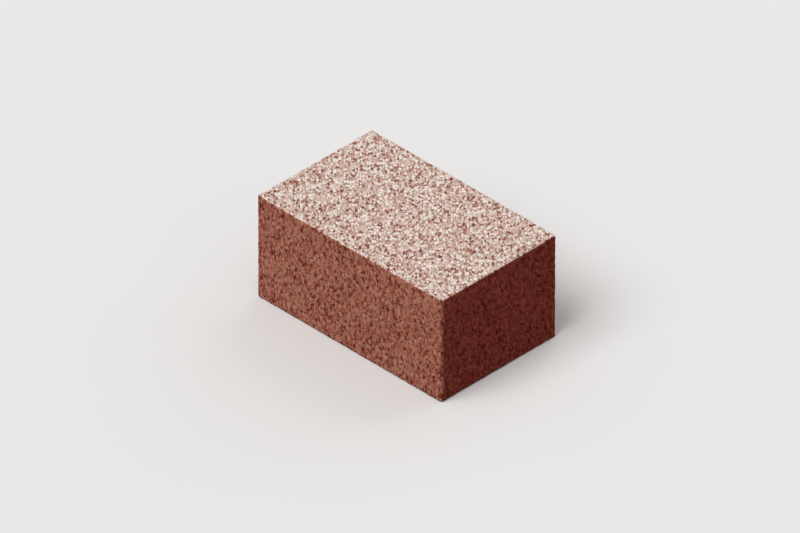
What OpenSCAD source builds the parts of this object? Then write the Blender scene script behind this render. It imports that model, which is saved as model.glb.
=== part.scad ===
// Levelling block: one solid pressed masonry unit of half course height.
// The origin is the centre of the lower bed face, +X runs along the wall,
// +Y through its thickness and +Z up. Sizes are in millimetres.

/* [Block] */
// Length along the wall
block_length = 240; // [120:5:490]
// Width through the thickness of the wall
block_width = 150; // [80:5:365]
// Height of the course that the block makes up
block_height = 115; // [50:1:240]

/* [Arrises] */
// Radius of the four upright arrises
upright_arris_r = 2.5; // [0.5:0.5:15]
// Radius of the arrises round the upper and lower bed faces
bed_arris_r = 2; // [0.5:0.5:15]

/* [Hidden] */
block_colour = [0.70, 0.56, 0.50];
$fn = 48;

// A rectangle centred on the origin, with its corners rounded to radius r.
module rounded_outline(across, up, r) {
    square([across - 2 * r, up], center = true);
    square([across, up - 2 * r], center = true);
    for (x = [-1, 1], y = [-1, 1])
        translate([x * (across / 2 - r), y * (up / 2 - r)]) circle(r);
}

// The plan gives the upright arrises, and the two elevations give the arrises
// along the ends and along the long sides. What all three share is the block.
module levelling_block() {
    color(block_colour)
    translate([0, 0, block_height / 2])
    intersection() {
        linear_extrude(block_height, center = true)
            rounded_outline(block_length, block_width, upright_arris_r);
        rotate([90, 0, 0])
            linear_extrude(block_width, center = true)
            rounded_outline(block_length, block_height, bed_arris_r);
        rotate([90, 0, 90])
            linear_extrude(block_length, center = true)
            rounded_outline(block_width, block_height, bed_arris_r);
    }
}

levelling_block();
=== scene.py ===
import math

import bmesh
import bpy
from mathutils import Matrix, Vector, noise


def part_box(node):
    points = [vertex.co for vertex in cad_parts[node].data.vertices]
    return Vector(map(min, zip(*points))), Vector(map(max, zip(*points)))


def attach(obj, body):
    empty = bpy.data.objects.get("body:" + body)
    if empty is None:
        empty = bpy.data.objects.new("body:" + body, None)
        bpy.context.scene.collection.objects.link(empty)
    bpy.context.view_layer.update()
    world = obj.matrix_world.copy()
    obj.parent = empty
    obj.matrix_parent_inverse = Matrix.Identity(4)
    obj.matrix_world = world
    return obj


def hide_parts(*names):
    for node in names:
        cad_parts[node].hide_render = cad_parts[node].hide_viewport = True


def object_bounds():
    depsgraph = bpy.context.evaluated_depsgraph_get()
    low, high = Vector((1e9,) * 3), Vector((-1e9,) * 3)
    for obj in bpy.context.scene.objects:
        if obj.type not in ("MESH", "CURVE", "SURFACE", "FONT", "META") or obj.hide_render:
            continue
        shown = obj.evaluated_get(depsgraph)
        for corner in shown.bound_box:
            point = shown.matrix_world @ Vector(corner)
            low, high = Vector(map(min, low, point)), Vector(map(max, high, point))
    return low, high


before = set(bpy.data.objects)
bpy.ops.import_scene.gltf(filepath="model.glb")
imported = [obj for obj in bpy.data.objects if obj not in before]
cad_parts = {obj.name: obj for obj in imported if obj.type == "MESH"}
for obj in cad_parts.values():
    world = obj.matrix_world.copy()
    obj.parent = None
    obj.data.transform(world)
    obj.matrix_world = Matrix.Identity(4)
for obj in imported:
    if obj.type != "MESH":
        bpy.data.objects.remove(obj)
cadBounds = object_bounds()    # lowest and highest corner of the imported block


def makeObject(name, bm):
    mesh = bpy.data.meshes.new(name)
    bm.to_mesh(mesh)
    bm.free()
    obj = bpy.data.objects.new(name, mesh)
    bpy.context.scene.collection.objects.link(obj)
    return obj


def addNode(tree, kind, **values):
    node = tree.nodes.new("ShaderNode" + kind)
    for key, value in values.items():
        setattr(node, key, value)
    return node


def fillSockets(tree, sockets, values):
    # A value is another node's output, or a plain number, vector or colour.
    for socket, value in zip(sockets, values):
        if isinstance(value, bpy.types.NodeSocket):
            tree.links.new(value, socket)
        else:
            socket.default_value = value


def maths(tree, operation, *values):
    node = addNode(tree, "Math", operation=operation)
    fillSockets(tree, node.inputs, values)
    return node.outputs[0]


def minus(tree, first, second):
    return maths(tree, 'SUBTRACT', first, second)


# A Mix node has sockets for numbers, vectors and colours side by side, told apart by their places.
def mixNumber(tree, factor, first, second):
    node = addNode(tree, "Mix", data_type='FLOAT')
    fillSockets(tree, (node.inputs[0], node.inputs[2], node.inputs[3]), (factor, first, second))
    return node.outputs[0]


def mixVector(tree, factors, first, second):
    node = addNode(tree, "Mix", data_type='VECTOR', factor_mode='NON_UNIFORM')
    fillSockets(tree, (node.inputs[1], node.inputs[4], node.inputs[5]), (factors, first, second))
    return node.outputs[1]


def mixColour(tree, factor, first, second, blend='MIX'):
    node = addNode(tree, "Mix", data_type='RGBA', blend_type=blend)
    fillSockets(tree, (node.inputs[0], node.inputs[6], node.inputs[7]), (factor, first, second))
    return node.outputs[2]


def noisePattern(tree, place, pattern):
    node = addNode(tree, "TexNoise")
    tree.links.new(place, node.inputs["Vector"])
    node.inputs["Scale"].default_value = 1 / pattern["size"]
    node.inputs["Detail"].default_value = pattern["detail"]
    node.inputs["Roughness"].default_value = pattern["roughness"]
    return node


# The block's shape, in metres. Its outer size comes from the frame.
block = {
    "arrisRadius": 0.0018,          # rounding of every arris before wear
    "arrisSegments": 4,
    "meshStep": 0.0013,             # spacing of the surface mesh
    "swellSize": 0.045,             # slow unevenness of the pressed faces
    "swellDepth": 0.0003,
    "lumpSize": 0.0042,             # coarse aggregate, with grooves between the lumps
    "lumpDepth": 0.00035,
    "grooveShare": 0.35,            # how far a groove reaches into its lump
    "pitSpacing": 0.009,            # voids left between the grains
    "pitShare": 0.5,                # how many of the possible places have a pit
    "pitShuffle": 5.3,              # any number, and another one deals the pits anew
    "pitRadius": (0.0010, 0.0024),  # of the smallest and of the largest pit
    "pitSlope": 0.7,                # a pit's depth, as a share of its radius
    "wearReach": 0.006,             # how far from an arris the wear goes
    "wearDepth": 0.0004,
    "wearMean": 0.5,                # wear where the waves are level, as a share of the depth
    "wearWaves": ((0.013, 1.0), (0.0035, 0.5)),    # size and share of the long waves and the short
    "mapGap": 0.003,                # room between the six sides on the flat map
}


def roundedBlock(lowest, highest):
    bm = bmesh.new()
    bmesh.ops.create_cube(bm, size=1)
    bmesh.ops.scale(bm, vec=highest - lowest, verts=bm.verts)
    bmesh.ops.translate(bm, vec=(lowest + highest) / 2, verts=bm.verts)
    bmesh.ops.bevel(bm, geom=bm.edges[:], offset=block["arrisRadius"], offset_type='OFFSET',
                    segments=block["arrisSegments"], profile=0.5, affect='EDGES', material=-1)
    return bm


def cutIntoGrid(bm):
    # The long edges are cut along one axis after the other. Those across the arrises stay whole.
    for axis in range(3):
        runs = {edge: abs(edge.verts[1].co[axis] - edge.verts[0].co[axis]) for edge in bm.edges}
        longEdges = [edge for edge, run in runs.items() if run > block["arrisRadius"]]
        cuts = round(max(runs.values()) / block["meshStep"]) - 1
        bmesh.ops.subdivide_edges(bm, edges=longEdges, cuts=cuts, use_grid_fill=True)


def sortFaces(bm):
    # The operators leave some faces in another order on each run. This gives all runs the same one.
    bm.verts.index_update()
    count = len(bm.verts)
    bm.faces.sort(key=lambda face: face.verts[0].index * count + face.verts[2].index)


def layOutMap(bm, lowest, highest):
    # A flat map for baking: top and long sides in one column, base and ends in the next.
    length, width, height = highest - lowest
    gap = block["mapGap"]
    nextColumn = length + 2 * gap
    wide = nextColumn + width + gap
    tall = length + 2 * height + 4 * gap
    east, north, up = Vector((1, 0, 0)), Vector((0, 1, 0)), Vector((0, 0, 1))
    # Each side's outward direction, then which ways run across and up its rectangle, and its corner.
    sides = (
        (up, east, north, (gap, gap)),
        (-north, east, up, (gap, width + 2 * gap)),
        (north, -east, up, (gap, width + height + 3 * gap)),
        (-up, north, east, (nextColumn, gap)),
        (east, north, up, (nextColumn, length + 2 * gap)),
        (-east, -north, up, (nextColumn, length + height + 3 * gap)),
    )
    uv = bm.loops.layers.uv.new("OFBake")
    middle = (lowest + highest) / 2
    half = (highest - lowest) / 2
    bm.normal_update()
    for face in bm.faces:
        _, across, upward, corner = max(sides, key=lambda side: side[0].dot(face.normal))
        for loop in face.loops:
            place = loop.vert.co - middle
            loop[uv].uv = ((corner[0] + abs(across.dot(half)) + across.dot(place)) / wide,
                           (corner[1] + abs(upward.dot(half)) + upward.dot(place)) / tall)


def swell(place):
    wave = noise.noise(place / block["swellSize"])    # from -1 to 1
    return block["swellDepth"] * (1 + wave) / 2


def lumps(place):
    distances, _ = noise.voronoi(place / block["lumpSize"])
    groove = 1 - min(1, (distances[1] - distances[0]) / block["grooveShare"])
    return block["lumpDepth"] * groove * groove


def pits(place):
    distances, centres = noise.voronoi(place / block["pitSpacing"])
    chance = noise.cell(centres[0] * block["pitShuffle"])    # one random number for each place
    if chance > block["pitShare"]:
        return 0
    small, large = block["pitRadius"]
    radius = small + (large - small) * chance / block["pitShare"]
    return block["pitSlope"] * max(0, radius - distances[0] * block["pitSpacing"])


def arrisWear(place, middle, half):
    gaps = sorted(half[i] - abs(place[i] - middle[i]) for i in range(3))
    closeness = max(0, 1 - gaps[1] / block["wearReach"])    # 1 at an arris, 0 out on the faces
    waves = sum(share * noise.noise(place / size) for size, share in block["wearWaves"])
    return block["wearDepth"] * closeness * closeness * max(0, block["wearMean"] + waves)


def roughen(bm, lowest, highest):
    middle = (lowest + highest) / 2
    half = (highest - lowest) / 2
    hollow = bm.verts.layers.float.new("hollow")    # kept for the painted shade in the hollows
    bm.normal_update()
    for vert in bm.verts:
        place = vert.co.copy()
        dip = lumps(place) + pits(place) + arrisWear(place, middle, half)
        vert.co = place - vert.normal * (swell(place) + dip)
        vert[hollow] = dip


def makeBlock():
    lowest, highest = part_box("levelling_block")
    bm = roundedBlock(lowest, highest)
    cutIntoGrid(bm)
    sortFaces(bm)
    layOutMap(bm, lowest, highest)
    roughen(bm, lowest, highest)
    for face in bm.faces:
        face.smooth = True
    obj = makeObject("levelling_block_skin", bm)
    obj.data.materials.append(speckledStone(lowest, highest))
    return obj


# The stone's finish, in metres. A tone is a place on the palette, from 0 to 1.
stone = {
    "sandSize": 0.0014,
    "sandTone": (0.32, 0.70),       # the sand between the grains
    "sandDome": 0.4,                # how far a grain of sand falls away from its middle
    # Each kind of grain: how far apart, least and most size as a share of that, tones, and rise.
    "grains": (
        {"spacing": 0.0021, "reach": (0.20, 0.54), "tone": (0.14, 0.38), "rise": 0.2},     # brown
        {"spacing": 0.0031, "reach": (0.20, 0.60), "tone": (0.00, 0.22), "rise": -0.5},    # burnt
        {"spacing": 0.0027, "reach": (0.20, 0.62), "tone": (0.76, 0.97), "rise": 0.6},     # grit
    ),
    "stretch": (0.93, 1.36, 2.25),  # a grain's width, depth and length, in times its spacing
    "lean": (38, -6, 45),           # degrees about x, y and z, to tip it towards the front right corner
    "ragged": {"size": 0.0018, "detail": 2, "roughness": 0.65},    # roughens the grains' outlines
    "raggedDepth": 0.0026,
    "fine": {"size": 0.0008, "detail": 1, "roughness": 0.5},       # mottling within a grain
    "fineShare": 0.3,
    "fineRise": 0.4,                # how much of the mottling is in the relief as well
    "drift": {"size": 0.05, "detail": 2, "roughness": 0.5},        # slow change over the block
    "driftShare": 0.05,
    "palette": (
        (0.05, (0.20, 0.050, 0.036)),      # burnt brown specks
        (0.17, (0.345, 0.130, 0.089)),
        (0.30, (0.515, 0.304, 0.239)),
        (0.52, (0.63, 0.472, 0.398)),      # sand
        (0.80, (0.79, 0.672, 0.595)),
        (0.96, (0.885, 0.805, 0.742)),     # pale grit
    ),
    # Least and most red, green and blue that a grain has, against its colour on the palette.
    "hueShift": ((0.93, 0.94, 0.98), (1.07, 1.06, 1.02)),
    "average": (0.62, 0.46, 0.395, 1),       # the speckle's mean colour
    "sideShadeTint": (0.755, 0.361, 0.279, 1),    # painted shade on the long sides, against the pale beds
    "headShadeTint": (0.50, 0.113, 0.085, 1),     # painted shade on the two ends, darker than on the long sides
    "sideCalm": 0.08,               # how much weaker the speckle is under the painted shade of the long sides than on the beds
    "headCalm": 0.16,
    # Least and most that a colour comes round its arris, grain by grain. Below 0 it stops before it.
    "topSpill": (-0.0007, 0.0007),
    "topHeadSpill": 0.0007,         # how much further the top's colour comes down the ends
    "baseSpill": (0.0005, 0.0009),
    "sideSpill": (0.0011, 0.0021),  # the long sides' colour, round onto the ends
    "sideShift": 0.0015,            # what is added to that at the front and taken off at the back
    "hollowDepth": (0.0002, 0.0016),    # where the painted shade in a hollow starts, and where it is darkest
    "hollowShade": 0.5,             # how bright it still is there
    "roughness": (0.95, 0.83),      # of the lowest and of the highest tone
    "gloss": 0.12,
    "relief": 0.0008,               # height of the grains
    "reliefStrength": 0.7,
}


def between(tree, share, ends):
    first, last = ends
    return maths(tree, 'MULTIPLY_ADD', share, last - first, first)


def within(tree, depth, ends, chance):
    # 1 nearer than a limit that changes from grain to grain, else 0.
    return maths(tree, 'LESS_THAN', depth, between(tree, chance, ends))


def raggedPlace(tree, place):
    # The place that the grains are laid out in: turned and stretched, and then pushed about.
    waves = noisePattern(tree, place, stone["ragged"])
    turned = addNode(tree, "Mapping", vector_type='TEXTURE')
    tree.links.new(place, turned.inputs["Vector"])
    turned.inputs["Rotation"].default_value = [math.radians(turn) for turn in stone["lean"]]
    turned.inputs["Scale"].default_value = stone["stretch"]
    push = addNode(tree, "VectorMath", operation='MULTIPLY_ADD')
    depth = (stone["raggedDepth"],) * 3
    fillSockets(tree, push.inputs, (waves.outputs["Color"], depth, turned.outputs[0]))
    return push.outputs[0]


def grainCells(tree, place, size):
    # Returns two random numbers for each grain, the distance from its middle, and a random hue.
    cells = addNode(tree, "TexVoronoi")
    tree.links.new(place, cells.inputs["Vector"])
    cells.inputs["Scale"].default_value = 1 / size
    numbers = addNode(tree, "SeparateColor")
    tree.links.new(cells.outputs["Color"], numbers.inputs[0])
    hue = addNode(tree, "TexWhiteNoise")
    tree.links.new(cells.outputs["Color"], hue.inputs["Vector"])
    return numbers.outputs[0], numbers.outputs[1], cells.outputs["Distance"], hue.outputs["Color"]


def layGrains(tree, place):
    # Sand first, then one kind of grain after the other on top of it.
    sandTone, chance, sandDistance, hue = grainCells(tree, place, stone["sandSize"])
    tone = between(tree, sandTone, stone["sandTone"])
    relief = maths(tree, 'MULTIPLY', sandDistance, -stone["sandDome"])
    for kind in stone["grains"]:
        ownReach, ownTone, distance, ownHue = grainCells(tree, place, kind["spacing"])
        inside = within(tree, distance, kind["reach"], ownReach)
        tone = mixNumber(tree, inside, tone, between(tree, ownTone, kind["tone"]))
        hue = mixColour(tree, inside, hue, ownHue)
        dome = maths(tree, 'MULTIPLY_ADD', distance, -kind["rise"], kind["rise"])
        relief = mixNumber(tree, inside, relief, dome)
    return tone, hue, relief, chance


def paletteRamp(tree, tone):
    ramp = addNode(tree, "ValToRGB")
    tree.links.new(tone, ramp.inputs[0])
    stops = ramp.color_ramp.elements
    while len(stops) < len(stone["palette"]):
        stops.new(0.5)    # moved to its place below
    for stop, (position, colour) in zip(stops, stone["palette"]):
        stop.position = position
        stop.color = (*colour, 1)
    return ramp.outputs[0]


def paintSideShade(tree, speckle, place, chance, lowest, highest):
    # Painted shade: pale beds, long sides tinted brown and ends tinted darker still, with borders that
    # follow the grains.
    axes = addNode(tree, "SeparateXYZ")
    tree.links.new(place, axes.inputs[0])
    x, y, z = axes.outputs
    fromHead = minus(tree, highest.x, maths(tree, 'ABSOLUTE', x))
    fromSide = minus(tree, highest.y, maths(tree, 'ABSOLUTE', y))
    fromUpright = maths(tree, 'MINIMUM', fromSide, fromHead)
    fromTop = minus(tree, highest.z, z)
    fromBase = minus(tree, z, lowest.z)
    shiftedSide = minus(tree, highest.y, maths(tree, 'ABSOLUTE', minus(tree, y, stone["sideShift"])))
    isSide = within(tree, minus(tree, shiftedSide, fromHead), stone["sideSpill"], chance)
    headExtra = mixNumber(tree, isSide, stone["topHeadSpill"], 0.0)
    topDepth = minus(tree, minus(tree, fromTop, fromUpright), headExtra)
    isTop = within(tree, topDepth, stone["topSpill"], chance)
    isBase = within(tree, minus(tree, fromBase, fromUpright), stone["baseSpill"], chance)

    # Painted shade: the long sides and the ends get a calmer speckle, darkened with a brown tint.
    calmSides = mixColour(tree, stone["sideCalm"], speckle, stone["average"])
    calmHeads = mixColour(tree, stone["headCalm"], speckle, stone["average"])
    sides = mixColour(tree, 1.0, calmSides, stone["sideShadeTint"], 'MULTIPLY')
    heads = mixColour(tree, 1.0, calmHeads, stone["headShadeTint"], 'MULTIPLY')
    upright = mixColour(tree, isSide, heads, sides)
    return mixColour(tree, maths(tree, 'MAXIMUM', isTop, isBase), upright, speckle)


def paintHollowShade(tree, colour):
    # Painted shade: the colour darkens with the depth of each pit, groove and worn arris.
    hollow = addNode(tree, "Attribute", attribute_name="hollow")
    shade = addNode(tree, "MapRange")
    values = (hollow.outputs["Fac"], *stone["hollowDepth"], 1.0, stone["hollowShade"])
    fillSockets(tree, shade.inputs, values)
    return mixColour(tree, 1.0, colour, shade.outputs[0], 'MULTIPLY')


def speckledStone(lowest, highest):
    material = bpy.data.materials.new("speckled_stone")
    material.use_nodes = True
    tree = material.node_tree
    shader = tree.nodes["Principled BSDF"]
    place = addNode(tree, "TexCoord").outputs["Object"]
    tone, hue, relief, chance = layGrains(tree, raggedPlace(tree, place))

    # The fine mottling and the drift lie evenly about the grain's own tone.
    fine = noisePattern(tree, place, stone["fine"]).outputs["Fac"]
    drift = noisePattern(tree, place, stone["drift"]).outputs["Fac"]
    for pattern, share in ((fine, stone["fineShare"]), (drift, stone["driftShare"])):
        tone = maths(tree, 'MULTIPLY_ADD', pattern, share, minus(tree, tone, share / 2))
    shift = mixVector(tree, hue, *stone["hueShift"])
    speckle = mixColour(tree, 1.0, paletteRamp(tree, tone), shift, 'MULTIPLY')
    colour = paintSideShade(tree, speckle, place, chance, lowest, highest)
    tree.links.new(paintHollowShade(tree, colour), shader.inputs["Base Color"])
    tree.links.new(between(tree, tone, stone["roughness"]), shader.inputs["Roughness"])
    shader.inputs["Specular IOR Level"].default_value = stone["gloss"]

    bump = addNode(tree, "Bump")
    bump.inputs["Strength"].default_value = stone["reliefStrength"]
    bump.inputs["Distance"].default_value = stone["relief"]
    tree.links.new(maths(tree, 'MULTIPLY_ADD', fine, stone["fineRise"], relief), bump.inputs["Height"])
    tree.links.new(bump.outputs["Normal"], shader.inputs["Normal"])
    return material


# The studio. What the camera and reflections see of floor and sky is pale, and the light that
# they throw is dimmer.
studio = {
    "floorSize": 40.0,
    "floorColour": (0.80, 0.79, 0.78, 1),
    "bounceColour": (0.12, 0.12, 0.12, 1),
    "skyColour": (0.825, 0.815, 0.805, 1),
    "skyLight": (0.36, 0.36, 0.36, 1),
    # Each sun's turn round from the front long side, its height and its softness, in degrees.
    "suns": {
        "key": {"turn": -6, "height": 57, "strength": 2.1, "softness": 40},
        "fill": {"turn": 180, "height": 35, "strength": 0.6, "softness": 60},
    },
}


def directionTo(turn, height):
    turn = math.radians(turn)
    height = math.radians(height)
    level = math.cos(height)
    return Vector((math.sin(turn) * level, -math.cos(turn) * level, math.sin(height)))


def seenDirectly(tree):
    path = addNode(tree, "LightPath")
    seen = maths(tree, 'ADD', path.outputs["Is Camera Ray"], path.outputs["Is Glossy Ray"])
    return maths(tree, 'ADD', seen, path.outputs["Is Transmission Ray"])


def makeFloor():
    bm = bmesh.new()
    bmesh.ops.create_grid(bm, x_segments=1, y_segments=1, size=studio["floorSize"])
    obj = makeObject("floor", bm)
    material = bpy.data.materials.new("pale_floor")
    material.use_nodes = True
    tree = material.node_tree
    shader = tree.nodes["Principled BSDF"]
    colour = mixColour(tree, seenDirectly(tree), studio["bounceColour"], studio["floorColour"])
    tree.links.new(colour, shader.inputs["Base Color"])
    shader.inputs["Roughness"].default_value = 1
    shader.inputs["Specular IOR Level"].default_value = 0
    obj.data.materials.append(material)
    return obj


def makeSky():
    world = bpy.data.worlds.new("studio_sky")
    bpy.context.scene.world = world
    world.use_nodes = True
    tree = world.node_tree
    sky = mixColour(tree, seenDirectly(tree), studio["skyLight"], studio["skyColour"])
    tree.links.new(sky, tree.nodes["Background"].inputs[0])


def makeSuns():
    for name, sun in studio["suns"].items():
        lamp = bpy.data.lights.new(name, 'SUN')
        lamp.energy = sun["strength"]
        lamp.angle = math.radians(sun["softness"])
        obj = bpy.data.objects.new(name, lamp)
        obj.location = directionTo(sun["turn"], sun["height"])
        obj.rotation_euler = obj.location.to_track_quat('Z', 'Y').to_euler()
        bpy.context.scene.collection.objects.link(obj)


camera = {
    "lens": 1000.0,
    "turn": 45.0,                   # degrees round from the front long side
    "height": 35.264,               # the elevation of an isometric view
    "viewWidth": 0.7370,            # width of the view at the block, in metres
    "aimRight": -0.0060,            # where the view is centred, beside the middle of the block
    "aimUp": -0.0007,
    "depth": 3,                     # how far the camera sees, in distances to the block
}


def makeCamera(centre):
    back = directionTo(camera["turn"], camera["height"])
    right = Vector((0, 0, 1)).cross(back).normalized()
    up = back.cross(right)
    data = bpy.data.cameras.new("camera")
    data.lens = camera["lens"]
    distance = camera["viewWidth"] * data.lens / data.sensor_width
    data.clip_end = distance * camera["depth"]
    obj = bpy.data.objects.new("camera", data)
    obj.location = centre + back * distance + right * camera["aimRight"] + up * camera["aimUp"]
    obj.rotation_euler = back.to_track_quat('Z', 'Y').to_euler()
    bpy.context.scene.collection.objects.link(obj)
    bpy.context.scene.camera = obj


bpy.context.scene.view_settings.view_transform = 'Standard'
makeCamera((cadBounds[0] + cadBounds[1]) / 2)
makeSuns()
makeSky()
makeFloor()
print("studio ready")

skin = makeBlock()
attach(skin, "root")
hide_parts("levelling_block")
print("block ready:", len(skin.data.polygons), "faces")
